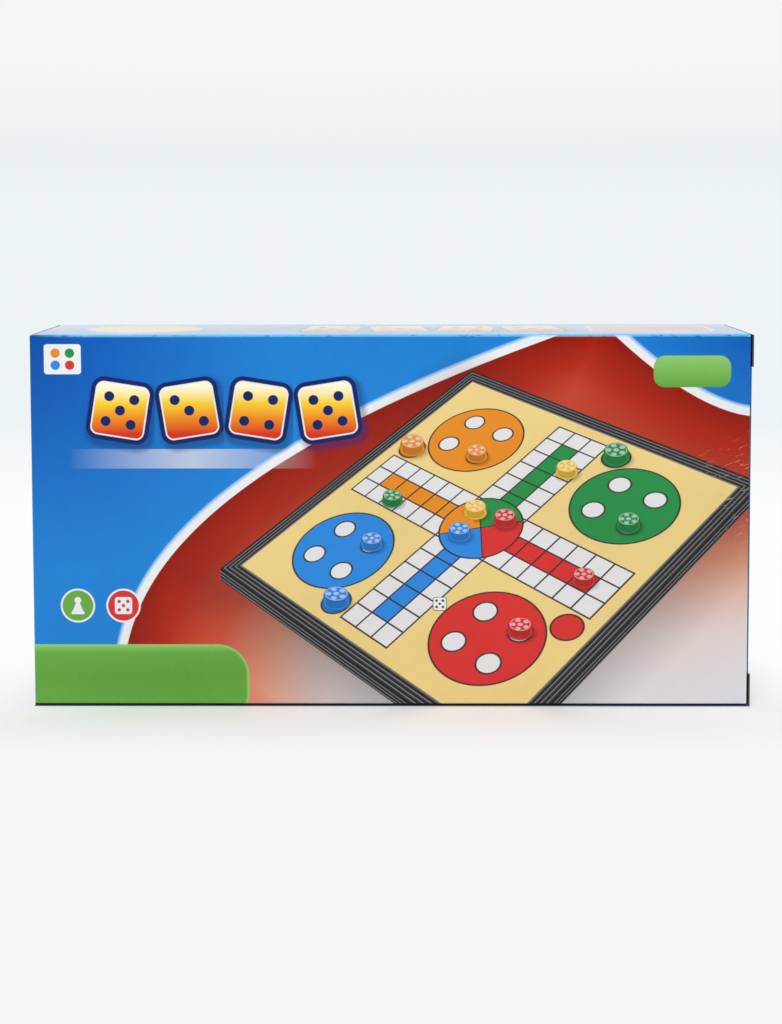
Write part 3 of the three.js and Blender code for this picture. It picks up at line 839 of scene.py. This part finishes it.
def banner(pen, ink, point):
    shape = bar(point, BANNER_CENTRE_SHARES, BANNER_HALF_SHARES, BANNER_ROUND_SHARE)
    top = BANNER_CENTRE_SHARES[1] + BANNER_HALF_SHARES[1]
    level = pen.span(point.parts()[1], 0, top)
    fill = pen.ramp(level, BANNER_STOPS, ("leaf", "leaf deep", "leaf", "leaf light"))
    ink = pen.paint(ink, shape, "leaf light")
    return pen.paint(ink, shape + BANNER_RIM_SHARE, fill, BANNER_RIM_SHARE)


def scuffs(pen, ink, point):
    """Short pale scratches near the right end, where hands and other boxes rub."""
    scratch = pen.noise(pen.joined(point.dot(SCUFF_ALONG), point.dot(SCUFF_ACROSS)), SCUFF_SCALE)
    near = pen.span(point.distance(SCUFF_SHARES), SCUFF_REACH_SHARE, 0)
    level = pen.span(scratch, SCUFF_START, SCUFF_END, 0, SCUFF_MOST) * near
    return pen.blend(level, ink, "scuff")


# Whole faces of the print

def ground(pen, point):
    """Blue that is deep in the far left corner and lighter away from it and from the right end."""
    away = pen.span(point.distance(GROUND_CORNER_SHARES), 0, GROUND_REACH_SHARE)
    ink = pen.ramp(away, GROUND_STOPS, ("ground deep", "ground", "ground glow"))
    right = pen.span(point.distance(GROUND_END_SHARES), GROUND_END_REACH_SHARE, 0)
    return pen.blend(right, ink, "ground")


def red_field(pen, past):
    """Red that pales away from the white band, to a near white."""
    inks = ("field", "field red", "field glow", "field warm", "field pale", "field white")
    return pen.ramp(pen.span(past, 0, FIELD_REACH_SHARE), FIELD_STOPS, inks)


def front_print(pen, point):
    """The front: the red field lies right of one white sweep and below another, with the picture over it."""
    ink = ground(pen, point)
    across, up, _ = point.parts()
    sweep = past_curve(pen, across, up, SWEEP_POWER, SWEEP_REACH_SHARE, SWEEP_START_SHARE)
    inward = FACE_WIDE_SHARE - across
    corner = past_curve(pen, up, inward, CORNER_POWER, CORNER_REACH_SHARE, CORNER_START_SHARE)
    past = pen.smaller(sweep, -corner)
    ink = pen.paint(ink, -SWEEP_RIM_SHARE - past, "rim", SWEEP_RIM_SHARE)
    ink = pen.paint(ink, -past, "white")
    ink = pen.paint(ink, SWEEP_BAND_SHARE - past, red_field(pen, past))
    layers = (
        fading_bar, pictured_board, pictured_counters, small_die, title_dice, corner_patch, leaf_tab,
        badges, banner, scuffs,
    )
    for layer in layers:
        ink = layer(pen, ink, point)
    return ink


def top_print(pen, point):
    """The top: an oval, the gold dice and a flag over the ground colour, which pales to the front crease as
    rubbed ink and a painted highlight.
    """
    ink = ground(pen, point)
    across, up, _ = point.parts()
    # A pale band along the front crease: rubbed ink and a painted highlight
    along = pen.span(across, WEAR_AND_HIGHLIGHT_START_SHARE, WEAR_AND_HIGHLIGHT_FULL_SHARE)
    rubbed_and_lit = pen.span(up, TOP_RUBBED_AND_LIT_SHARE, 0, 0, WORN_AND_LIT_MOST) * along
    oval = disc((point - OVAL_CENTRE_SHARES) * (1, OVAL_STRETCH, 0), (0, 0, 0), OVAL_SHARE)
    ink = pen.paint(ink, oval - OVAL_RING_SHARE, "white")
    ink = pen.paint(ink, oval, "gold")
    ink = title_dice(pen, ink, point + TOP_TITLE_SHARES)
    flag = bar(point, TOP_FLAG_CENTRE_SHARES, TOP_FLAG_HALF_SHARES, TAB_ROUND_SHARE)
    ink = pen.paint(ink, flag - OVAL_RING_SHARE, "white")
    ink = pen.paint(ink, flag, "field glow")
    return pen.blend(rubbed_and_lit, ink, "crack")


def closure_print(pen, point):
    """A closure: four discs in the players' colours, one over the other."""
    ink = ground(pen, point)
    across, up, _ = point.parts()
    count = len(CLOSURE_DISCS)
    turn = up * count
    index = pen.number("FLOOR", turn)
    local = pen.joined(across - CLOSURE_MIDDLE_SHARE, (turn - index - 0.5) / count)
    face = disc(local, (0, 0, 0), CLOSURE_DISC_SHARE)
    fill = CLOSURE_DISCS[0]
    for below, name in enumerate(CLOSURE_DISCS[1:]):
        fill = pen.blend(index.over(below + 0.5), fill, name)
    ink = pen.paint(ink, face - CLOSURE_RING_SHARE, "white")
    return pen.paint(ink, face, fill)


# Materials

def new_pen(owner):
    """A pen for the nodes of a material or a world, which starts with none."""
    owner.use_nodes = True
    owner.node_tree.nodes.clear()
    return Pen(owner.node_tree)


def new_material(name, values):
    """A material with its pen and its shader, whose own sockets take the values."""
    material = bpy.data.materials.new(name)
    pen = new_pen(material)
    shader = pen.node("ShaderNodeBsdfPrincipled", values)
    pen.node("ShaderNodeOutputMaterial", {0: Signal(pen, shader.outputs[0])})
    return material, pen, shader


def connect(pen, shader, signals):
    for name, signal in signals.items():
        pen.tree.links.new(signal.socket, shader.inputs[name])


def surface(pen):
    """The place on the piece in millimetres, and the way that its surface faces."""
    node = pen.node("ShaderNodeTexCoord", {})
    place = Point(pen, node.outputs["Object"]) * (MILLIMETRES, MILLIMETRES, MILLIMETRES)
    return place, Point(pen, node.outputs["Normal"])


def bump(pen, height, distance, under=None):
    feeds = {"Height": height, "Distance": distance}
    if under is not None:
        feeds["Normal"] = under
    return pen.result("ShaderNodeBump", feeds)


def box_of(node):
    """A node's lowest and highest corners in millimetres."""
    return [Vector(corner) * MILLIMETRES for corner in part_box(node)]


def start_of(node, away):
    """How far along away a node starts, in millimetres."""
    return min(corner.dot(away) for corner in box_of(node))


def raw_board(pen, place):
    """Unprinted grey-white board with its fibres."""
    fibre = pen.noise(place * FIBRE_STRETCH, FIBRE_SCALE, FIBRE_DETAIL)
    return pen.ramp(fibre, NOISE_SPAN, ("core", "core light"))


def gap_shaded_board(node, away):
    """Raw board with a painted shade along the edge of the node from which away leads, where it shows in the
    gap beside the carton's raw ends.
    """
    start = start_of(node, away)

    def draw(pen, place):
        ink = raw_board(pen, place)
        ragged = pen.noise(place, WEAR_SCALE) * GAP_SHADE_RAGGED
        # Painted shade, ragged, that deepens towards the edge
        gap_shade = pen.span(place.dot(away) - start + ragged, GAP_SHADE_REACH, GAP_SHADE_FULL, 0, GAP_SHADE_MOST)
        return pen.blend(gap_shade, ink, "soil")

    return draw


def board_material(node, outward, draw, shine=BOARD_SHINE, draw_inside=raw_board):
    """Carton board: print on the side that faces outward, raw board on its inner side, and cut edges painted
    dark as if in shade, and pale as if lit from above where they face up.

    draw is given the pen and the place in millimetres, and returns the ink and where its varnish is worn off.
    draw_inside is given the same and returns the ink of the inner side."""
    material, pen, shader = new_material(f"{node}_board", shine)
    place, facing = surface(pen)
    straight = facing.dot(outward)
    printed = straight.over(FACING)
    ink, worn = draw(pen, place)
    ink = pen.tinted(ink, pen.vary(pen.noise(place, SHADE_SCALE), *BOARD_SHADES))
    # Cut edges are painted dark as if in shade, and pale as if lit from above where they face up
    upward = facing.dot((0, 0, 1)).over(FACING)
    cut = pen.blend(upward, "cut edge", "clean edge")
    inside = draw_inside(pen, place)
    bare = pen.blend(abs(straight).over(FACING), cut, inside)
    ink = pen.blend(printed, bare, ink)
    smudge = pen.vary(pen.noise(place, SMUDGE_SCALE, ROUGH_DETAIL), *BOARD_GLOSS)
    roughness = pen.larger(smudge, worn * WORN_ROUGHNESS)
    roughness = pen.larger(roughness, (1 - printed) * RAW_ROUGHNESS)
    waves = bump(pen, pen.noise(place, WAVE_SCALE, SOFT_DETAIL), WAVE_DEPTH)
    fibres = bump(pen, pen.noise(place, FIBRE_SCALE, ROUGH_DETAIL), FIBRE_DEPTH, waves)
    connect(pen, shader, {"Base Color": ink, "Roughness": roughness, "Normal": fibres})
    connect(pen, shader, {"Coat Weight": printed * (1 - worn)})
    return material


def face_drawing(node, across, up, picture, worn_and_lit_side=(0, 0, 0), worn_and_lit_from=1):
    """The drawing of one panel's outer face. across and up are the ways that its picture runs.

    The face is worn most along its outline near the crease that the last two arguments give, where the pale
    worn ink is partly a painted highlight; both fade in from its left end."""
    low, high = box_of(node)
    left, base = start_of(node, across), start_of(node, up)
    wide, tall = [abs((high - low).dot(way)) / carton_height for way in (across, up)]
    half = (wide / 2, tall / 2, 0)

    def draw(pen, place):
        point = pen.joined((place.dot(across) - left) / carton_height, (place.dot(up) - base) / carton_height)
        outline = bar(point, half, half, WEAR_SHARE * 2)
        # Pale worn ink along the outline, which on the chosen crease is partly a painted highlight and fades
        # in from the left end
        streak = pen.noise(place * WEAR_STRETCH, WEAR_SCALE, ROUGH_DETAIL)
        worn_and_lit_crease = point.dot(worn_and_lit_side).over(worn_and_lit_from)
        cracked_and_lit = pen.span(streak + worn_and_lit_crease * CREASE_WEAR_AND_HIGHLIGHT, WEAR_START, WEAR_END)
        along = pen.span(point.parts()[0], WEAR_AND_HIGHLIGHT_START_SHARE, WEAR_AND_HIGHLIGHT_FULL_SHARE)
        worn = pen.span(outline, -WEAR_SHARE, 0, 0, WORN_AND_LIT_MOST) * cracked_and_lit * along
        ink = pen.blend(worn, picture(pen, point), "crack")
        # A painted shade along the base crease, where the carton meets the floor; its varnish is taken off
        # there too
        rise = place.dot((0, 0, 1))
        painted_base_shade = pen.span(rise, 0, BASE_SHADE_LOW) * pen.span(rise, BASE_SHADE_TOP, BASE_SHADE_FULL)
        return pen.blend(painted_base_shade, ink, "soil"), pen.larger(worn, painted_base_shade)

    return draw


def flap_drawing(node, away):
    """The drawing of a flap: the print runs past its crease by a narrow bleed, and the rest is bare."""
    start = start_of(node, away)

    def draw(pen, place):
        past = place.dot(away) - start
        ragged = pen.noise(place, BLEED_SCALE) * BLEED_RAGGED
        inked = pen.cover(past + ragged - BLEED, BLEED_EDGE)
        ink = pen.blend(inked, raw_board(pen, place), "bleed")
        streak = pen.noise(place, WEAR_SCALE, ROUGH_DETAIL)
        worn = pen.span(past, WORN_CREASE, 0) * pen.span(streak, WEAR_START, WEAR_END)
        return pen.blend(worn, ink, "crack"), worn

    return draw


def plastic(name, ink, grain_scale, grain_depth, roughness, values):
    """Moulded plastic: slight changes of colour and gloss, a fine grain, and corners with a small radius."""
    material, pen, shader = new_material(name, values)
    place, _ = surface(pen)
    cloud = pen.noise(place, CLOUD_SCALE, ROUGH_DETAIL)
    base = pen.tinted(ink, pen.vary(cloud, *PLASTIC_SHADES))
    fine = pen.noise(place, grain_scale)
    gloss = pen.vary(fine, roughness * (1 - GLOSS_CHANGE), roughness * (1 + GLOSS_CHANGE))
    corners = pen.result("ShaderNodeBevel", {"Radius": MOULD_RADIUS}, samples=MOULD_SAMPLES)
    grain = bump(pen, fine, grain_depth, corners)
    connect(pen, shader, {"Base Color": base, "Roughness": gloss, "Normal": grain})
    return material


def pin_steel():
    """Drawn wire: fine scratches along the pin."""
    material, pen, shader = new_material("pin_steel_drawn", {"Metallic": 1})
    place, _ = surface(pen)
    scratch = pen.noise(place * PIN_STRETCH, PIN_SCALE, ROUGH_DETAIL)
    base = pen.ramp(scratch, NOISE_SPAN, ("steel", "steel light"))
    gloss = pen.vary(scratch, *PIN_GLOSS)
    connect(pen, shader, {"Base Color": base, "Roughness": gloss, "Normal": bump(pen, scratch, PIN_DEPTH)})
    return material


def play_sheet(name, outward, away):
    """Half of a ludo board on laminated card. away is 1 for the half past the fold, and -1 for the other."""
    material, pen, shader = new_material(name, BOARD_SHINE | {"Coat Weight": 1})
    place, facing = surface(pen)
    low, high = box_of(name)
    pitch = (high.x - low.x) / 2 / SHEET_HALF_CELLS
    across, _, up = place.parts()
    fold = high.z + SHEET_FOLD_GAP
    ink = ludo_board(pen, pen.joined(across / pitch, (fold - up) * (away / pitch)))
    printed = facing.dot(outward).over(FACING)
    ink = pen.blend(printed, raw_board(pen, place), ink)
    fine = pen.noise(place, FIBRE_SCALE, ROUGH_DETAIL)
    gloss = pen.vary(fine, *SHEET_GLOSS)
    connect(pen, shader, {"Base Color": ink, "Roughness": gloss, "Normal": bump(pen, fine, FIBRE_DEPTH)})
    return material


def die_material():
    """White plastic with sunk pips: opposite faces add up to seven."""
    material, pen, shader = new_material("die_pips", {"IOR": 1.49})
    place, facing = surface(pen)
    low, high = box_of("die")
    edge = (high - low).x
    pip_place, pip_radius = edge * DIE_PLACE_SHARE, edge * DIE_PIP_SHARE
    across, depth, up = (place - tuple((low + high) / 2)).parts()
    on_x, on_y, on_z = [part.over(DIE_FACING) for part in abs(facing).parts()]
    point = pen.choose(on_y, pen.joined(across, depth), pen.joined(across, up))
    point = pen.choose(on_x, point, pen.joined(depth, up))
    odd = facing.dot((1, 1, 1)).over(0)
    even = 1 - odd
    corners = 1 - on_x * odd
    both_diagonals = on_y * even + on_z * odd
    pip = pip_distance(pen, point, pip_place, pip_radius, odd, corners, both_diagonals)
    middle_row = disc(abs(point), (pip_place, 0, 0), pip_radius)
    pip = pen.smaller(pip, middle_row + (1 - on_x * even))
    inside = pen.cover(pip, edge * DIE_EDGE_SHARE)
    white = pen.tinted("white", pen.span(pen.noise(place, DIE_CLOUD_SCALE), 0, 1, *DIE_SHADES))
    base = pen.blend(inside, white, "line")
    gloss = pen.span(inside, 0, 1, *DIE_GLOSS)
    sunk = bump(pen, 1 - inside, edge / MILLIMETRES * DIE_SINK_SHARE)
    connect(pen, shader, {"Base Color": base, "Roughness": gloss, "Normal": sunk})
    return material


# Studio

def rays(pen, *names):
    """For each kind of ray, 1 for a ray of that kind and 0 for any other."""
    path = pen.node("ShaderNodeLightPath", {})
    return [Number(pen, path.outputs[name]) for name in names]


def make_world():
    """A pale room to the camera, darker behind it in reflections, and plain white light for the rest."""
    world = bpy.data.worlds.new("room")
    bpy.context.scene.world = world
    pen = new_pen(world)
    way = Point(pen, pen.node("ShaderNodeTexCoord", {}).outputs["Generated"])
    _, forth, up = way.parts()
    by_camera, glossy, clear = rays(pen, "Is Camera Ray", "Is Glossy Ray", "Is Transmission Ray")
    mirrored = pen.larger(glossy, clear)
    strength = pen.larger(by_camera, pen.span(forth, -ROOM_TURN, ROOM_TURN, ROOM_BEHIND_CAMERA, 1))
    backdrop = pen.ramp(up, WALL_STOPS, ("wall low", "wall", "wall high"))
    seen = pen.result("ShaderNodeBackground", {0: backdrop, 1: strength})
    light = pen.result("ShaderNodeBackground", {0: (1, 1, 1, 1), 1: ROOM_LIGHT})
    mixed = pen.result("ShaderNodeMixShader", {0: pen.larger(by_camera, mirrored), 1: light, 2: seen})
    pen.node("ShaderNodeOutputWorld", {0: mixed})


def floor_material():
    """White paper that takes the object's shadow, has a painted contact shadow right under it, and fades into
    the backdrop.
    """
    material = bpy.data.materials.new("floor_paper")
    pen = new_pen(material)
    place = Point(pen, pen.node("ShaderNodeTexCoord", {}).outputs["Object"])
    beside = bar(place * (1, 1, 0), (0, 0, 0), cad_box[1], 0)
    away = place.distance(FLOOR_MIDDLE)
    near = pen.span(away, FLOOR_NEAR_START, FLOOR_NEAR_END)
    # A painted contact shadow under the object, fading out just past its outline; the glow stays off it
    clear_of_painted_shadow = pen.span(beside, 0, FLOOR_PAINTED_SHADOW_REACH)
    faded = pen.larger(pen.span(beside, FLOOR_FADE_START, FLOOR_FADE_END), near) * clear_of_painted_shadow
    horizon = pen.span(away, FLOOR_FAR_START, FLOOR_FAR_END)
    tone = pen.blend(horizon, pen.blend(near, "floor near", "floor far"), "wall low")
    by_camera, glossy = rays(pen, "Is Camera Ray", "Is Glossy Ray")
    seen = pen.larger(by_camera, glossy)
    paper = pen.result("ShaderNodeBsdfDiffuse", {0: pen.blend(clear_of_painted_shadow, "floor gap", "floor")})
    glow = pen.result("ShaderNodeEmission", {0: tone})
    mixed = pen.result("ShaderNodeMixShader", {0: faded * seen, 1: paper, 2: glow})
    pen.node("ShaderNodeOutputMaterial", {0: mixed})
    return material


def make_floor():
    corners = []
    for step in range(FLOOR_SIDES):
        turn = math.tau * step / FLOOR_SIDES
        corners.append((FLOOR_RADIUS * math.cos(turn), FLOOR_RADIUS * math.sin(turn), -FLOOR_DROP))
    mesh = bpy.data.meshes.new("floor")
    mesh.from_pydata(corners, [], [list(range(FLOOR_SIDES))])
    floor = bpy.data.objects.new("floor", mesh)
    bpy.context.scene.collection.objects.link(floor)
    mesh.materials.append(floor_material())


def make_lamp(name, place, size, power):
    """A round soft light that faces the object."""
    data = bpy.data.lights.new(name, "AREA")
    data.shape = "DISK"
    data.size = size
    data.energy = power
    lamp = bpy.data.objects.new(name, data)
    lamp.location = place
    lamp.rotation_mode = "QUATERNION"
    lamp.rotation_quaternion = (-Vector(place)).to_track_quat("-Z", "Y")
    bpy.context.scene.collection.objects.link(lamp)


def make_camera():
    pitch, yaw, roll = [math.radians(angle) for angle in (CAMERA_PITCH, CAMERA_YAW, CAMERA_ROLL)]
    data = bpy.data.cameras.new("camera")
    data.sensor_fit = "VERTICAL"
    data.sensor_height = SENSOR
    data.lens = FOCAL_PIXELS / PICTURE_HIGH * SENSOR
    data.shift_y = SHIFT_PIXELS / PICTURE_HIGH
    data.clip_start = NEAR_CLIP
    data.clip_end = FAR_CLIP
    camera = bpy.data.objects.new("camera", data)
    upright = Matrix.Rotation(math.pi / 2, 4, "X")
    turned = Matrix.Rotation(yaw, 4, "Z") @ Matrix.Rotation(pitch, 4, "X") @ upright
    camera.matrix_world = Matrix.Translation(CAMERA_PLACE) @ turned @ Matrix.Rotation(roll, 4, "Z")
    bpy.context.scene.collection.objects.link(camera)
    bpy.context.scene.camera = camera


# The part

def shaped(pen, kind, shape, feeds, **settings):
    return pen.result(f"GeometryNode{kind}", {"Geometry": shape, **feeds}, **settings)


def smoothing():
    """Joins a piece's facets, so that its folds and rounds shade as curves and its hard edges stay hard."""
    tree = bpy.data.node_groups.new("smoothing", "GeometryNodeTree")
    tree.interface.new_socket("Geometry", in_out="INPUT", socket_type="NodeSocketGeometry")
    tree.interface.new_socket("Geometry", in_out="OUTPUT", socket_type="NodeSocketGeometry")
    pen = Pen(tree)
    shape = pen.result("NodeGroupInput", {})
    joined = shaped(pen, "MergeByDistance", shape, {"Distance": JOIN_DISTANCE})
    bare = shaped(pen, "RemoveAttribute", joined, {"Name": "custom_normal"})
    smooth = shaped(pen, "SetShadeSmooth", bare, {"Shade Smooth": True})
    angle = Signal(pen, pen.node("GeometryNodeInputMeshEdgeAngle", {}).outputs["Unsigned Angle"])
    crisp = pen.result("FunctionNodeCompare", {0: angle, 1: math.radians(SMOOTH_ANGLE)}, data_type="FLOAT")
    feeds = {"Selection": crisp, "Shade Smooth": False}
    hard = shaped(pen, "SetShadeSmooth", smooth, feeds, domain="EDGE")
    pen.node("NodeGroupOutput", {0: hard})
    return tree


def smooth_all():
    tree = smoothing()
    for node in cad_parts.values():
        if node.type == "MESH":
            node.modifiers.new("smoothing", "NODES").node_group = tree


def dress(node, material):
    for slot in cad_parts[node].material_slots:
        slot.material = material


def dress_carton():
    x, y, z = Vector((1, 0, 0)), Vector((0, 1, 0)), Vector((0, 0, 1))
    # Where each face's pale line of worn ink and painted highlight is strongest: the top crease
    worn_and_lit_above = {"worn_and_lit_side": (0, 1, 0), "worn_and_lit_from": 1 - CREASE_REACH_SHARE}
    worn_and_lit_below = {"worn_and_lit_side": (0, -1, 0), "worn_and_lit_from": -CREASE_REACH_SHARE}
    panels = (
        ("front_panel", -y, x, z, front_print, worn_and_lit_above),
        ("back_panel", y, -x, z, front_print, worn_and_lit_above),
        ("top_panel", z, x, y, top_print, worn_and_lit_below),
        ("base_panel", -z, x, -y, ground, {}),
    )
    for node, outward, across, up, picture, wear in panels:
        shine = TOP_SHINE if node == "top_panel" else BOARD_SHINE
        drawing = face_drawing(node, across, up, picture, **wear)
        dress(node, board_material(node, outward, drawing, shine))
    # A closure's inner side has a painted shade beside the edge that shows in the gap at the carton's end
    for node, outward, across in (("left_closure", -x, -y), ("right_closure", x, y)):
        drawing = face_drawing(node, across, z, closure_print)
        dress(node, board_material(node, outward, drawing, draw_inside=gap_shaded_board(node, across)))
    flaps = (
        ("glue_flap", -z, -y),
        ("left_tuck_flap", y, x),
        ("right_tuck_flap", -y, -x),
        ("left_top_dust_flap", -x, -z),
        ("left_base_dust_flap", -x, z),
        ("right_top_dust_flap", x, -z),
        ("right_base_dust_flap", x, z),
    )
    for node, outward, away in flaps:
        dress(node, board_material(node, outward, flap_drawing(node, away)))


def dress_case():
    shell = plastic("case_plastic_grain", "case", *CASE_GRAIN, {"IOR": 1.5})
    for node in ("front_half_shell", "back_half_shell", "latch_clip"):
        dress(node, shell)
    dress("front_play_sheet", play_sheet("front_play_sheet", (0, -1, 0), -1))
    dress("back_play_sheet", play_sheet("back_play_sheet", (0, 1, 0), 1))
    steel = pin_steel()
    for node in ("left_hinge_pin", "right_hinge_pin"):
        dress(node, steel)
    dress("counter_tray", plastic("tray_satin", "tray", *TRAY_GRAIN, {"IOR": 1.49}))
    for name in ("red", "blue", "green", "yellow"):
        clear = plastic(f"{name}_clear", name, *COUNTER_GRAIN, {"IOR": 1.49, "Transmission Weight": 0.35})
        for number in range(1, COUNTERS_EACH + 1):
            dress(f"{name}_counter_{number}", clear)
    dress("die", die_material())


def as_lists(corners):
    return [list(corner) for corner in corners]


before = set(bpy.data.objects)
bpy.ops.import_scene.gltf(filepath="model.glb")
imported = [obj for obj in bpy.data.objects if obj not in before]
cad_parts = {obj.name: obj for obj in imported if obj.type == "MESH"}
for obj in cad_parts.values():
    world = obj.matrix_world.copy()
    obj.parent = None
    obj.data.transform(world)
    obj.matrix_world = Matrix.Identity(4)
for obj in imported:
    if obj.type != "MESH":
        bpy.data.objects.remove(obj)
cad_box = as_lists(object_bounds())
carton_height = cad_box[1][2] * MILLIMETRES
bpy.context.scene.view_settings.view_transform = "Standard"
make_camera()
make_world()
make_floor()
make_lamp("key", KEY_PLACE, KEY_SIZE, KEY_POWER)
make_lamp("back", BACK_PLACE, BACK_SIZE, BACK_POWER)
dress_carton()
dress_case()
smooth_all()
